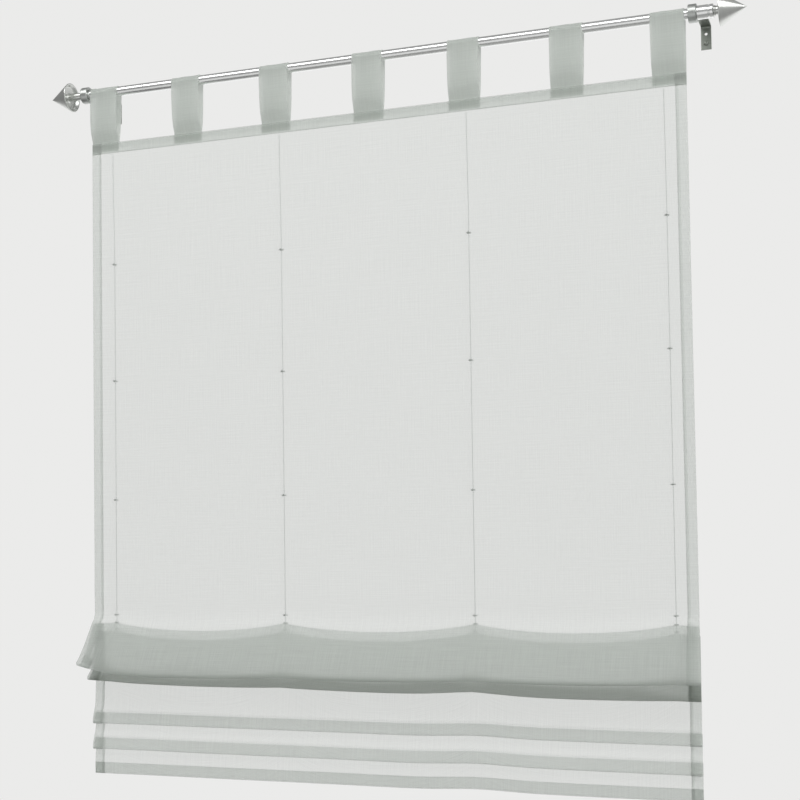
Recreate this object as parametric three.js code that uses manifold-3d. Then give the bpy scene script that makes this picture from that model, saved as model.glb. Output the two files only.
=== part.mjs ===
// A sheer roman shade with seven tab loops, hung on a metal curtain rod with cone finials.
// Millimetres, +X along the rod to the right as seen from the front, -Y to the front, +Z up.
// The origin lies in the plane of the plates' backs, level with the rod, midway along the cloth.

import * as THREE from "three";
import { mergeVertices } from "three/addons/utils/BufferGeometryUtils.js";
import Module from "manifold-3d";

// Driving sizes of the rod and what holds it
const ROD_TO_BACK = 90;
const ROD_RADIUS = 8;
const ROD_HALF_LENGTH = 517;
const FIT_GAP = 0.3;
const TURNED_SIDES = 24;

const COLLAR_CENTRE = 511;
const COLLAR_LENGTH = 12;
const COLLAR_RADIUS = 13.5;
const COLLAR_BORE = ROD_RADIUS + FIT_GAP;

const STRAP_SHIFT = 7;
const STRAP_WIDTH = 15.6;
const STRAP_THICKNESS = 2;
const STRAP_TOP = 12.5;
const STRAP_FRONT = 84;
const STRAP_BEND = 3;
const PLATE_FOOT = -25;
const SCREW_HOLE_RADIUS = 2.3;
const SCREW_HOLE_LEVELS = [-1, -15.5];

const SLEEVE_RADIUS = 10.2;
const CONE_BASE_RADIUS = 24;
const CONE_LENGTH = 39;
const CONE_RIM = 2.2;
const CONE_DISH_DEPTH = 5;
const STEM_RADIUS = 7.5;
const LEFT_CONE_AT = -540;
const RIGHT_CONE_AT = 550;
const SLEEVE_END = 541;

// Driving sizes of the cloth
const HALF_WIDTH = 500;
const CLOTH = 1.0;
const HEM_CLOTH = 2.0;
const SIDE_HEM = 17;
const HEM_STEP = 0.6;
const HEADING_TOP = -86;
const HEADING_FOOT = -104;
const HEM_TOP = -1125;
const HEM_FOOT = -1144;
const RING_LEVELS = [-293, -490, -689, -880];
const TUCKED_RING_LEVELS = [-892.8, -903.6];
const CORD_LINES = [-461, -154, 162, 466];
const BACKWARD_LEAN = 0.0155;
const SURFACE_WAVE = 1.6;
const WAVE_FULL = -400;
const SAG_SHARPNESS = 0.65;
const TUCK_LIFT = 3.2;
const TUCK_LIFT_SPREAD = 62;
const CORNER_FLARE = 7;
const CORNER_SPAN = 60;
const BILLOW_DEPTH = 46;
const EDGE_SAG = 0.15;

const TAB_WIDTH = 50;
const TAB_FOOT = -101;
const TABS = [
  { centre: -474, lean: 0.6 },
  { centre: -320, lean: -0.9 },
  { centre: -160, lean: -0.4 },
  { centre: 1.5, lean: 0.5 },
  { centre: 160, lean: 0.7 },
  { centre: 322, lean: 1.0 },
  { centre: 474, lean: -0.5 },
];

const RING_RADIUS = 3.2;
const RING_WIRE = 0.8;
const RING_SIDES = 5;
const RING_STEPS = 8;
const CORD_RADIUS = 0.6;
const CORD_TOP = -105.2;
const CORD_FOOT = -904.6;
const CORD_STEPS = 8;

// The cloth's section, from the heading to the hem. forward and level are the cloth's middle
// at a cord line; forwardMid and levelMid are the same point midway between two cord lines.
// corner raises the point at the left edge, slope lowers it towards the right edge.
const row = (forward, level, forwardMid, levelMid, steps = 1, corner = 0, slope = 0) =>
  ({ forward, level, forwardMid, levelMid, steps, corner, slope });

// A tuck: the cloth runs down its front, back up inside and down again behind it.
function tuckRows(top, foot, slope) {
  const point = (forward, level, steps = 1) => row(forward, level, forward, level, steps, 0, slope);
  return [
    point(0.4, top + 7),
    point(2.7, top, 2),
    point(6.4, foot + 1.8),
    point(5.1, foot),
    point(3.6, foot + 2.0, 2),
    point(0.3, top - 3.6),
    point(-1.1, top - 2.0),
    point(-2.5, top - 3.8, 2),
    point(-2.6, foot - 0.5),
    point(-1.2, foot - 6),
  ];
}

const SECTION = [
  row(0, HEADING_TOP, 0, HEADING_TOP),
  row(0, HEADING_FOOT, 0, HEADING_FOOT),
  row(0, HEADING_FOOT - HEM_STEP, 0, HEADING_FOOT - HEM_STEP, 4),
  row(0, -500, 0, -500, 3),
  row(0, -840, 0, -845, 2),
  row(0.6, -881, 0.4, -891, 2),
  row(8, -894, 7.6, -904, 2),
  row(28, -930, 27, -935, 2),
  row(43, -960, 42.5, -963.5, 2, 8),
  row(46.8, -971, 46.6, -975, 2, 14),
  row(44, -976.5, 43.8, -980.5, 2, 15),
  row(36, -972, 36, -976, 2, 14),
  row(23, -948, 23, -953, 2, 8),
  row(10, -915, 10.5, -926, 2, 3),
  row(3.2, -897, 3.4, -912, 1, 2),
  row(0.9, -892.2, 1.0, -907),
  row(-0.1, -894.2, 0, -909.2),
  row(0.1, -903, 0.1, -917, 2),
  row(0.8, -925, 0.8, -935, 2),
  row(6, -962, 6, -968, 2),
  row(16, -984, 16, -987, 1, 2, 5),
  row(20, -991.5, 20, -994.5, 1, 3, 6),
  row(17.6, -996, 17.6, -999, 1, 3, 6),
  row(13.6, -992.5, 13.6, -995.5, 2, 3, 6),
  row(3.6, -972, 3.6, -976, 2, 1, 3),
  row(-1.4, -948, -1.2, -956, 2),
  row(-2.2, -920, -2.2, -936),
  row(-2.3, -908.5, -2.3, -925),
  row(-3.6, -905.3, -3.6, -922),
  row(-5, -908.5, -5, -925, 2),
  row(-4.9, -930, -4.9, -944, 2),
  row(-3.4, -968, -3.4, -974, 2),
  row(-2.2, -1005, -2.2, -1005, 2, 0, 3.5),
  ...tuckRows(-1042, -1063, 3.5),
  ...tuckRows(-1084, -1105, 3.5),
  row(0, HEM_TOP, 0, HEM_TOP, 1, 0, 2),
  row(0, HEM_TOP - HEM_STEP, 0, HEM_TOP - HEM_STEP, 1, 0, 2),
  row(0, HEM_FOOT, 0, HEM_FOOT, 1, 0, 2),
];

// Materials, one for each finish
const finish = (color, roughness, metalness) =>
  new THREE.MeshStandardMaterial({ color, roughness, metalness });
const sheerCloth = finish(0xc6ccc6, 0.9, 0);
const tabCloth = finish(0xb4bab4, 0.9, 0);
const cordThread = finish(0xb8bcb8, 0.8, 0);
const clearPlastic = finish(0xa8aca8, 0.4, 0);
const polishedSteel = finish(0xd2d4d2, 0.2, 1);
const darkSteel = finish(0x7c807a, 0.4, 1);

const wasm = await Module();
wasm.setup();

const part = new THREE.Group();

function add(name, geometry, material) {
  const mesh = new THREE.Mesh(geometry, material);
  mesh.name = name;
  part.add(mesh);
  return mesh;
}

function positionOnly(geometry) {
  const bare = geometry.clone();
  bare.deleteAttribute("normal");
  bare.deleteAttribute("uv");
  return mergeVertices(bare, 1e-4);
}

function toSolid(geometry) {
  const merged = positionOnly(geometry);
  return new wasm.Manifold(new wasm.Mesh({
    numProp: 3,
    vertProperties: new Float32Array(merged.attributes.position.array),
    triVerts: new Uint32Array(merged.index.array),
  }));
}

function toGeometry(solid) {
  const mesh = solid.getMesh();
  const geometry = new THREE.BufferGeometry();
  geometry.setAttribute("position", new THREE.BufferAttribute(mesh.vertProperties, 3));
  geometry.setIndex(new THREE.BufferAttribute(mesh.triVerts, 1));
  return geometry;
}

// A closed sheet: a grid of middle points with a normal and a half thickness at each, skinned
// on both sides and along its four edges. grid[i][j] = { point, normal, half }.
function sheetGeometry(grid) {
  const across = grid.length;
  const along = grid[0].length;
  const positions = [];
  for (const side of [1, -1]) {
    for (const line of grid) {
      for (const { point, normal, half } of line) {
        positions.push(
          point.x + side * half * normal.x,
          point.y + side * half * normal.y,
          point.z + side * half * normal.z,
        );
      }
    }
  }
  const back = across * along;
  const at = (i, j) => i * along + j;
  const triangles = [];
  const quad = (a, b, c, d) => triangles.push(a, b, c, a, c, d);
  for (let i = 0; i + 1 < across; i++) {
    for (let j = 0; j + 1 < along; j++) {
      quad(at(i, j), at(i, j + 1), at(i + 1, j + 1), at(i + 1, j));
      quad(back + at(i, j), back + at(i + 1, j), back + at(i + 1, j + 1), back + at(i, j + 1));
    }
  }
  const last = along - 1;
  for (let i = 0; i + 1 < across; i++) {
    quad(at(i, 0), at(i + 1, 0), back + at(i + 1, 0), back + at(i, 0));
    quad(at(i + 1, last), at(i, last), back + at(i, last), back + at(i + 1, last));
  }
  const end = across - 1;
  for (let j = 0; j + 1 < along; j++) {
    quad(at(0, j + 1), at(0, j), back + at(0, j), back + at(0, j + 1));
    quad(at(end, j), at(end, j + 1), back + at(end, j + 1), back + at(end, j));
  }
  const geometry = new THREE.BufferGeometry();
  geometry.setAttribute("position", new THREE.Float32BufferAttribute(positions, 3));
  geometry.setIndex(triangles);
  return geometry;
}

// Normals of a line of points in a plane of constant x, towards the cloth's front.
function sectionNormals(points) {
  return points.map((_, j) => {
    const before = points[Math.max(j - 1, 0)];
    const after = points[Math.min(j + 1, points.length - 1)];
    const run = after.clone().sub(before);
    return new THREE.Vector3(0, run.z, -run.y).normalize();
  });
}

// How far a line of cloth at x is between two cord lines: 0 on a cord, 1 midway. It falls
// steeply beside each cord, because the cloth hangs from the rings there.
function sagAt(x) {
  const first = CORD_LINES[0];
  const last = CORD_LINES[CORD_LINES.length - 1];
  if (x <= first) return EDGE_SAG * (first - x) / (first + HALF_WIDTH);
  if (x >= last) return EDGE_SAG * (x - last) / (HALF_WIDTH - last);
  const span = CORD_LINES.findIndex((line, k) => x >= line && x <= CORD_LINES[k + 1]);
  const share = (x - CORD_LINES[span]) / (CORD_LINES[span + 1] - CORD_LINES[span]);
  return Math.pow(Math.max(Math.sin(Math.PI * share), 0), SAG_SHARPNESS);
}

// The left edge's lift, the right edge's drop and the small lift of the tucks at the third cord
function levelShift(x, entry) {
  const fromLeft = Math.max(0, 1 - (x + HALF_WIDTH) / (CORNER_SPAN * 1.5));
  const corner = entry.corner * fromLeft * fromLeft;
  const slope = -entry.slope * x / HALF_WIDTH;
  const apart = (x - CORD_LINES[2]) / TUCK_LIFT_SPREAD;
  const lift = entry.slope > 0 ? TUCK_LIFT * Math.exp(-apart * apart) : 0;
  return corner + slope + lift;
}

// The lean takes the cloth a little back on its way down.
const leanAt = (level) => BACKWARD_LEAN * (HEADING_TOP - level);

// A slow uneven wave of the hanging cloth, none at the heading and full from WAVE_FULL down
function waveAt(x, level) {
  const fade = THREE.MathUtils.smoothstep(-level, -HEADING_FOOT, -WAVE_FULL);
  return SURFACE_WAVE * fade * Math.sin(x / 71 + 0.6) * Math.cos(x / 187 - 0.4);
}

function clothLine(x) {
  const sag = sagAt(x);
  const flareShare = Math.max(0, (Math.abs(x) - (HALF_WIDTH - CORNER_SPAN)) / CORNER_SPAN);
  const knots = SECTION.map((entry) => {
    const forward = THREE.MathUtils.lerp(entry.forward, entry.forwardMid, sag);
    const level = THREE.MathUtils.lerp(entry.level, entry.levelMid, sag) + levelShift(x, entry);
    return new THREE.Vector3(0, -ROD_TO_BACK - forward + leanAt(level) - waveAt(x, level), level);
  });
  const curve = new THREE.CatmullRomCurve3(knots, false, "centripetal");
  const points = [];
  SECTION.slice(0, -1).forEach((entry, k) => {
    for (let step = 0; step < entry.steps; step++) {
      points.push(curve.getPoint((k + step / entry.steps) / (SECTION.length - 1)));
    }
  });
  points.push(knots[knots.length - 1].clone());
  const normals = sectionNormals(points);
  return points.map((point, j) => {
    const forward = Math.max(0, -point.y - ROD_TO_BACK + leanAt(point.z));
    const flare = CORNER_FLARE * flareShare * flareShare * forward / BILLOW_DEPTH;
    point.x = x + Math.sign(x) * flare;
    return { point, normal: normals[j], half: halfThickness(x, point.z, j, points.length) };
  });
}

// Hems and the heading are doubled cloth.
function halfThickness(x, level, index, count) {
  const inSideHem = Math.abs(x) >= HALF_WIDTH - SIDE_HEM - 0.01;
  const inHeading = index <= 1;
  const inBottomHem = index >= count - 2;
  return (inSideHem || inHeading || inBottomHem ? HEM_CLOTH : CLOTH) / 2;
}

// Columns of the cloth's grid: hem edges, each cord with a close neighbour on both sides,
// and even steps between the cords.
function clothColumns() {
  const hemInner = HALF_WIDTH - SIDE_HEM;
  const columns = [-HALF_WIDTH, -hemInner, -hemInner + HEM_STEP];
  const near = 11;
  const stepsPerSpan = 5;
  CORD_LINES.forEach((line, k) => {
    if (k > 0) {
      const from = CORD_LINES[k - 1] + near;
      const to = line - near;
      for (let step = 1; step < stepsPerSpan; step++) {
        columns.push(from + (to - from) * step / stepsPerSpan);
      }
    }
    columns.push(line - near, line, line + near);
  });
  columns.push(hemInner - HEM_STEP, hemInner, HALF_WIDTH);
  return columns;
}

function shadeCloth() {
  return sheetGeometry(clothColumns().map(clothLine));
}

// A tab: one strip of cloth folded over the rod, with both of its ends behind the heading.
// Its section starts at the front leg's foot and ends at the back leg's foot.
function tabLoop({ centre, lean }) {
  const overRod = ROD_RADIUS + FIT_GAP + CLOTH / 2;
  const frontTail = -(HEM_CLOTH / 2 + FIT_GAP + CLOTH / 2);
  const backTail = frontTail - CLOTH - FIT_GAP;
  const leg = (forward, level) => new THREE.Vector3(0, -ROD_TO_BACK - forward, level);
  const front = [
    leg(frontTail, TAB_FOOT), leg(frontTail, -92), leg(frontTail + 0.2, -84.5), leg(0.6, -78),
    leg(4.6, -66), leg(7.4, -46), leg(8.6, -20),
  ];
  const arcSteps = 10;
  const over = Array.from({ length: arcSteps + 1 }, (_, k) => {
    const angle = Math.PI * k / arcSteps;
    return leg(overRod * Math.cos(angle), overRod * Math.sin(angle));
  });
  const rear = [
    leg(-8.7, -20), leg(-8.2, -46), leg(-6.6, -66), leg(-4.6, -78), leg(backTail - 0.1, -86),
    leg(backTail, -92), leg(backTail, TAB_FOOT),
  ];
  const section = [...front, ...over, ...rear];
  const normals = sectionNormals(section).map((normal) => normal.negate());
  return sheetGeometry([1, -1].map((side) => section.map((point, j) => {
    const place = point.clone();
    place.x = centre + side * TAB_WIDTH / 2 + lean * point.z / 86;
    return { point: place, normal: normals[j], half: CLOTH / 2 };
  })));
}

// A cord's centre at a level: behind the cloth by the ring's radius, pinned close at the top
function cordPoint(level) {
  const besideCloth = CLOTH / 2 + FIT_GAP + CORD_RADIUS;
  const throughRings = CLOTH / 2 + FIT_GAP + RING_RADIUS + RING_WIRE;
  const share = THREE.MathUtils.smoothstep(-level, -CORD_TOP, -RING_LEVELS[0]);
  return -ROD_TO_BACK + leanAt(level) + THREE.MathUtils.lerp(besideCloth, throughRings, share);
}

function liftCord(x) {
  const levels = [CORD_TOP, -150, -200, -250, ...RING_LEVELS, CORD_FOOT];
  const route = levels.map((level) => new THREE.Vector3(x, cordPoint(level) - waveAt(x, level), level));
  const path = new THREE.CatmullRomCurve3(route, false, "centripetal");
  const round = new THREE.Shape();
  round.absarc(0, 0, CORD_RADIUS, 0, Math.PI * 2);
  return new THREE.ExtrudeGeometry(round, {
    extrudePath: path, steps: CORD_STEPS, curveSegments: 4, bevelEnabled: false,
  });
}

function liftRing(x, level) {
  const geometry = new THREE.TorusGeometry(RING_RADIUS, RING_WIRE, RING_SIDES, RING_STEPS);
  geometry.translate(x, cordPoint(level) - waveAt(x, level), level);
  return geometry;
}

function curtainRod() {
  const geometry = new THREE.CylinderGeometry(ROD_RADIUS, ROD_RADIUS, ROD_HALF_LENGTH * 2, TURNED_SIDES, 1);
  geometry.rotateZ(Math.PI / 2);
  geometry.translate(0, -ROD_TO_BACK, 0);
  return geometry;
}

// A turned piece on the rod's axis. Profile points are [radius, distance outwards].
function turned(profile, startX, side) {
  const geometry = new THREE.LatheGeometry(profile.map(([r, h]) => new THREE.Vector2(r, h)), TURNED_SIDES);
  geometry.rotateZ(-side * Math.PI / 2);
  geometry.translate(startX, -ROD_TO_BACK, 0);
  return geometry;
}

// A cone with a dished back and a stem that meets the rod's end or the sleeve.
function finial(coneAt, stemFrom) {
  const side = Math.sign(coneAt);
  const stem = Math.abs(coneAt) - Math.abs(stemFrom);
  const dish = CONE_BASE_RADIUS - CONE_RIM;
  return turned([
    [0, -stem],
    [STEM_RADIUS, -stem],
    [STEM_RADIUS, CONE_DISH_DEPTH],
    [dish - 3, CONE_DISH_DEPTH],
    [dish, 0],
    [CONE_BASE_RADIUS, 0],
    [CONE_BASE_RADIUS, 1.2],
    [CONE_BASE_RADIUS * 0.5, CONE_LENGTH * 0.52],
    [0, CONE_LENGTH],
  ], coneAt, side);
}

function endSleeve() {
  const start = ROD_HALF_LENGTH + FIT_GAP;
  const length = SLEEVE_END - start;
  return turned([
    [0, 0], [SLEEVE_RADIUS - 0.6, 0], [SLEEVE_RADIUS, 0.6], [SLEEVE_RADIUS, length - 0.8],
    [SLEEVE_RADIUS - 0.8, length], [0, length],
  ], start, 1);
}

// A bracket: a collar round the rod, and a flat strap that runs back from it and turns down
// as an upright plate with two holes. It stands a little to the right of the collar on both.
function bracket(side) {
  const ring = new THREE.LatheGeometry([
    new THREE.Vector2(COLLAR_BORE, -COLLAR_LENGTH / 2),
    new THREE.Vector2(COLLAR_RADIUS - 0.8, -COLLAR_LENGTH / 2),
    new THREE.Vector2(COLLAR_RADIUS, -COLLAR_LENGTH / 2 + 0.8),
    new THREE.Vector2(COLLAR_RADIUS, COLLAR_LENGTH / 2 - 0.8),
    new THREE.Vector2(COLLAR_RADIUS - 0.8, COLLAR_LENGTH / 2),
    new THREE.Vector2(COLLAR_BORE, COLLAR_LENGTH / 2),
    new THREE.Vector2(COLLAR_BORE, -COLLAR_LENGTH / 2),
  ], TURNED_SIDES);
  ring.rotateZ(Math.PI / 2);
  ring.translate(side * COLLAR_CENTRE, -ROD_TO_BACK, 0);

  // The strap's outline in the plane of constant x, drawn with x as -Y and y as Z
  const inner = STRAP_THICKNESS + STRAP_BEND;
  const outline = new THREE.Shape();
  outline.moveTo(STRAP_FRONT, STRAP_TOP - STRAP_THICKNESS);
  outline.lineTo(STRAP_FRONT, STRAP_TOP);
  outline.lineTo(inner, STRAP_TOP);
  outline.absarc(inner, STRAP_TOP - inner, inner, Math.PI / 2, Math.PI, false);
  outline.lineTo(0, PLATE_FOOT);
  outline.lineTo(STRAP_THICKNESS, PLATE_FOOT);
  outline.lineTo(STRAP_THICKNESS, STRAP_TOP - inner);
  outline.absarc(inner, STRAP_TOP - inner, STRAP_BEND, Math.PI, Math.PI / 2, true);
  const strap = new THREE.ExtrudeGeometry(outline, {
    depth: STRAP_WIDTH, steps: 1, curveSegments: 5, bevelEnabled: false,
  });
  const middle = side * COLLAR_CENTRE + STRAP_SHIFT;
  const toWorld = new THREE.Matrix4().makeBasis(
    new THREE.Vector3(0, -1, 0), new THREE.Vector3(0, 0, 1), new THREE.Vector3(-1, 0, 0),
  );
  strap.applyMatrix4(toWorld);
  strap.translate(middle + STRAP_WIDTH / 2, 0, 0);

  let solid = toSolid(ring).add(toSolid(strap));
  for (const level of SCREW_HOLE_LEVELS) {
    const drill = new THREE.CylinderGeometry(SCREW_HOLE_RADIUS, SCREW_HOLE_RADIUS, 12, 16);
    drill.translate(middle, 0, level);
    solid = solid.subtract(toSolid(drill));
  }
  return toGeometry(solid);
}

add("curtain_rod", curtainRod(), polishedSteel);
add("bracket_left", bracket(-1), darkSteel);
add("bracket_right", bracket(1), darkSteel);
add("end_sleeve", endSleeve(), polishedSteel);
add("finial_left", finial(LEFT_CONE_AT, -(ROD_HALF_LENGTH + FIT_GAP)), polishedSteel);
add("finial_right", finial(RIGHT_CONE_AT, SLEEVE_END + FIT_GAP), polishedSteel);
add("shade_cloth", shadeCloth(), sheerCloth);
TABS.forEach((tab, k) => add(`tab_${k + 1}`, tabLoop(tab), tabCloth));
CORD_LINES.forEach((x, k) => {
  add(`lift_cord_${k + 1}`, liftCord(x), cordThread);
  [...RING_LEVELS, ...TUCKED_RING_LEVELS].forEach((level, n) => {
    add(`ring_${k + 1}_${n + 1}`, liftRing(x, level), clearPlastic);
  });
});

export default part;
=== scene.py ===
# %% [markdown]
# # A sheer roman shade on a curtain rod
# The shade is one wide piece of voile with sewn hems, two sewn tucks and a heading, hung from a
# metal rod by seven cloth tabs. Four cords run down its back through small rings, and the two
# lowest rows of rings are pulled up, so the cloth above the hem lies in two folds.
#
# The solid model of every piece is loaded first, because it fixes each size and each place.
# Nearly everything made below is a finer skin over one of those solids. Stitches, ring ties
# and screws are too small for the solids and are added here.

# %% Load the frame
import math

import bmesh
import bpy
import numpy as np
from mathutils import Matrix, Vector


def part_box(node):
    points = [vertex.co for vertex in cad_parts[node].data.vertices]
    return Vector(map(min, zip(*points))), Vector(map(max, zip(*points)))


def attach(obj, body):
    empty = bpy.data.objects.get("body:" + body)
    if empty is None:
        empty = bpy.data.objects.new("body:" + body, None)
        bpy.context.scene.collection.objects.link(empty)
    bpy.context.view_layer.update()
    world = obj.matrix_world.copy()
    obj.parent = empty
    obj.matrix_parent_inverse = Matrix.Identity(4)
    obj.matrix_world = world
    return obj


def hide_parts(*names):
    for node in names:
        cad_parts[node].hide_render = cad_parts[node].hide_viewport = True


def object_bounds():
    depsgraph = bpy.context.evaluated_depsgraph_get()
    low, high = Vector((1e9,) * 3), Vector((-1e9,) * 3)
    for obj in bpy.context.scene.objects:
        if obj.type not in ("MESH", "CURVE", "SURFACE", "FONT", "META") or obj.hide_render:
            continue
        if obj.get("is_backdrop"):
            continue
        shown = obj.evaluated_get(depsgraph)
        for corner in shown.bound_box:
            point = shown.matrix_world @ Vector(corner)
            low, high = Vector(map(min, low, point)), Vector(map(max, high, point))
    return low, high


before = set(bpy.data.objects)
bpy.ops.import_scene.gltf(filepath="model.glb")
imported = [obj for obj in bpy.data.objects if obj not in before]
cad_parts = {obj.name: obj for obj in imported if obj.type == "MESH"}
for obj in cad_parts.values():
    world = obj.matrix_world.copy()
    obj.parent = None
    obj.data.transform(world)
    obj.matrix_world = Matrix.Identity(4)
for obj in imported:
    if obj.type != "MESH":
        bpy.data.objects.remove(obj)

CAD_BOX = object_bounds()
MM = 0.001
print("solids:", len(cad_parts), "box:", [tuple(round(c, 3) for c in corner) for corner in CAD_BOX])

# %% [markdown]
# ## From a net of points to a mesh
# Nearly every piece here is a surface with two directions, such as across and down for cloth, or
# along and round for a cord. Such a surface could be drawn by hand in edit mode, but a formula
# worked out for whole arrays at once is quicker to change and gives an even net. The next cell
# turns a net of points into a mesh, one four-sided face to a cell.

# %% Net of points to mesh
def placed(name, data):
    """A new object in the scene, with its mesh, lamp or camera."""
    obj = bpy.data.objects.new(name, data)
    bpy.context.collection.objects.link(obj)
    return obj


def surface(name, points, uv=None, close_i=False, close_j=False, closed=False):
    """A mesh object from one net points[i, j], or from many alike, points[copy, i, j].

    A closed direction joins its last line to its first. uv is in metres and has one more line
    in a closed direction, so the pattern runs on over the join. closed welds what coincides,
    such as the points of a pole, and turns all faces outwards.
    """
    points = np.asarray(points, float)
    points = points[None] if points.ndim == 3 else points
    copies, rows, columns, _ = points.shape
    i, j = np.meshgrid(np.arange(rows - 1 + close_i), np.arange(columns - 1 + close_j), indexing="ij")
    corners = ((i, j), (i + 1, j), (i + 1, j + 1), (i, j + 1))
    cell = np.stack([(a % rows) * columns + b % columns for a, b in corners], -1).reshape(-1, 4)
    faces = (cell + (np.arange(copies) * rows * columns)[:, None, None]).reshape(-1)
    mesh = bpy.data.meshes.new(name)
    mesh.vertices.add(copies * rows * columns)
    mesh.vertices.foreach_set("co", points.reshape(-1))
    mesh.loops.add(len(faces))
    mesh.loops.foreach_set("vertex_index", faces.astype(np.int32))
    mesh.polygons.add(len(faces) // 4)
    mesh.polygons.foreach_set("loop_start", np.arange(0, len(faces), 4, dtype=np.int32))
    mesh.polygons.foreach_set("use_smooth", np.ones(len(faces) // 4, bool))
    mesh.update(calc_edges=True)
    if uv is not None:
        wide = columns + close_j
        at = np.stack([a * wide + b for a, b in corners], -1).reshape(-1)
        flat = np.asarray(uv, float).reshape(copies, -1, 2)[:, at].reshape(-1)
        mesh.uv_layers.new(name="laid_flat").uv.foreach_set("vector", flat.astype(np.float32))
    if closed:
        work = bmesh.new()
        work.from_mesh(mesh)
        bmesh.ops.remove_doubles(work, verts=work.verts, dist=1e-7)
        bmesh.ops.recalc_face_normals(work, faces=work.faces)
        work.to_mesh(mesh)
        work.free()
    return placed(name, mesh)


def closed_skin(name, x, y, z):
    """A piece closed all round and at both ends, from its net's x, y and z in mm."""
    return surface(name, np.stack([x, y, z], -1) * MM, close_j=True, closed=True)


def triangles(obj):
    """How many triangles a piece has."""
    return sum(len(face.vertices) - 2 for face in obj.data.polygons)


print("net of points to mesh is ready")

# %% [markdown]
# ## Soft steps and rounded corners
# Two small shapes are needed again and again: a step without a corner in it, and a corner that
# is cut back and rounded. A rounded corner is what catches a thin line of light on metal, so
# every edge below gets one. A Bevel modifier could do it too, but on a profile it is simply a
# short curve between two straight runs.

# %% Soft steps and rounded corners
def soft_step(value, low, high):
    """0 up to low, 1 from high on, and an S between them: three t squared less two t cubed."""
    t = np.clip((value - low) / (high - low), 0, 1)
    return t * t * (3 - 2 * t)


def rounded(profile, radius, steps=5):
    """A profile with each inner corner replaced by a short curve.

    The curve leaves one run at radius from the corner, bends towards the corner and joins the
    next run at the same distance, or nearer where a run is short.
    """
    profile = [np.array(point, float) for point in profile]
    t = np.linspace(0, 1, steps)[:, None]
    out = [profile[0][None]]
    for before, corner, after in zip(profile, profile[1:], profile[2:]):
        runs = [np.linalg.norm(before - corner), np.linalg.norm(after - corner)]
        cut = min(radius, 0.45 * min(runs))
        start = corner + (before - corner) / runs[0] * cut
        end = corner + (after - corner) / runs[1] * cut
        out.append((1 - t) ** 2 * start + 2 * t * (1 - t) * corner + t * t * end)
    return np.concatenate(out + [profile[-1][None]])


def length_along(line):
    """Running length at every point of a line: the sum of the steps before it."""
    return np.concatenate([[0], np.cumsum(np.linalg.norm(np.diff(line, axis=0), axis=1))])


def ring_angles(sides):
    """Angles of one full turn, the last one step short of the first."""
    return np.linspace(0, 2 * math.pi, sides, endpoint=False)


print("a corner of 1 mm rounded in", len(rounded([(0, 0), (4, 0), (4, 4)], 1.0)), "points")

# %% [markdown]
# ## Arithmetic on shader sockets
# A shader is a sum: so much of this noise, less so much of that wave. Writing it as a Python
# expression is easier to read than a list of nodes and links. The class below wraps an output
# socket, and each operator adds one Math node. Every other node comes from one method.

# %% Arithmetic on shader sockets
class Wire:
    """An output socket of a node. Arithmetic on it adds Math nodes to the same tree."""

    def __init__(self, recipe, socket):
        self.recipe, self.socket = recipe, socket

    def maths(self, operation, first, second):
        return self.recipe.node("ShaderNodeMath", {"operation": operation}, {0: first, 1: second})

    def __add__(self, other):
        return self.maths("ADD", self, other)

    def __sub__(self, other):
        return self.maths("SUBTRACT", self, other)

    def __rsub__(self, other):
        return self.maths("SUBTRACT", other, self)

    def __mul__(self, other):
        return self.maths("MULTIPLY", self, other)

    __radd__ = __add__
    __rmul__ = __mul__

    def wave(self):
        """The sine of this value."""
        return self.maths("SINE", self, 0.0)


class Recipe:
    """A material and the one method that adds nodes to it."""

    def __init__(self, name, tree=None):
        if tree is None:
            self.material = bpy.data.materials.new(name)
            self.material.use_nodes = True
            tree = self.material.node_tree
        self.tree = tree
        self.tree.nodes.clear()

    def node(self, kind, settings=None, inputs=None, output=0):
        """Adds a node: its settings first, then the value or the wire of each named socket."""
        made = self.tree.nodes.new(kind)
        for name, value in (settings or {}).items():
            setattr(made, name, value)
        for name, value in (inputs or {}).items():
            if isinstance(value, Wire):
                self.tree.links.new(value.socket, made.inputs[name])
            else:
                made.inputs[name].default_value = value
        return Wire(self, made.outputs[output]) if made.outputs else None

    def shade(self, low, high, share):
        """A colour between two plain ones."""
        return self.blend((*low, 1), (*high, 1), share)

    def blend(self, first, second, share):
        """One colour turning into another, by a share from 0 to 1."""
        settings = {"data_type": "RGBA", "clamp_factor": True}
        return self.node("ShaderNodeMix", settings, {0: share, 6: first, 7: second}, 2)

    def between(self, value, low, high):
        """0 at low, 1 at high and soft between. With low above high it falls instead."""
        settings = {"interpolation_type": "SMOOTHSTEP"}
        return self.node("ShaderNodeMapRange", settings, {0: value, 1: low, 2: high})

    def on_object(self):
        """The place on the piece itself, which a turned or moved view doesn't change."""
        return self.node("ShaderNodeTexCoord", None, None, 3)

    def noise(self, place, scale, detail=2.0, stretch=(1, 1, 1)):
        """Soft noise from 0 to 1. A small stretch number draws it out in that direction."""
        turned = self.node("ShaderNodeMapping", {"vector_type": "POINT"}, {0: place, 3: stretch})
        return self.node("ShaderNodeTexNoise", None, {"Vector": turned, "Scale": scale, "Detail": detail})

    def bump(self, height, distance, strength=1.0):
        """A normal tilted by a height, as if the surface rose by distance where it is 1."""
        inputs = {"Height": height, "Distance": distance, "Strength": strength}
        return self.node("ShaderNodeBump", None, inputs)

    def end(self, shader):
        self.node("ShaderNodeOutputMaterial", None, {"Surface": shader})
        return self.material


print("operators:", [name for name in ("__add__", "__sub__", "__rsub__", "__mul__") if hasattr(Wire, name)])

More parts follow.
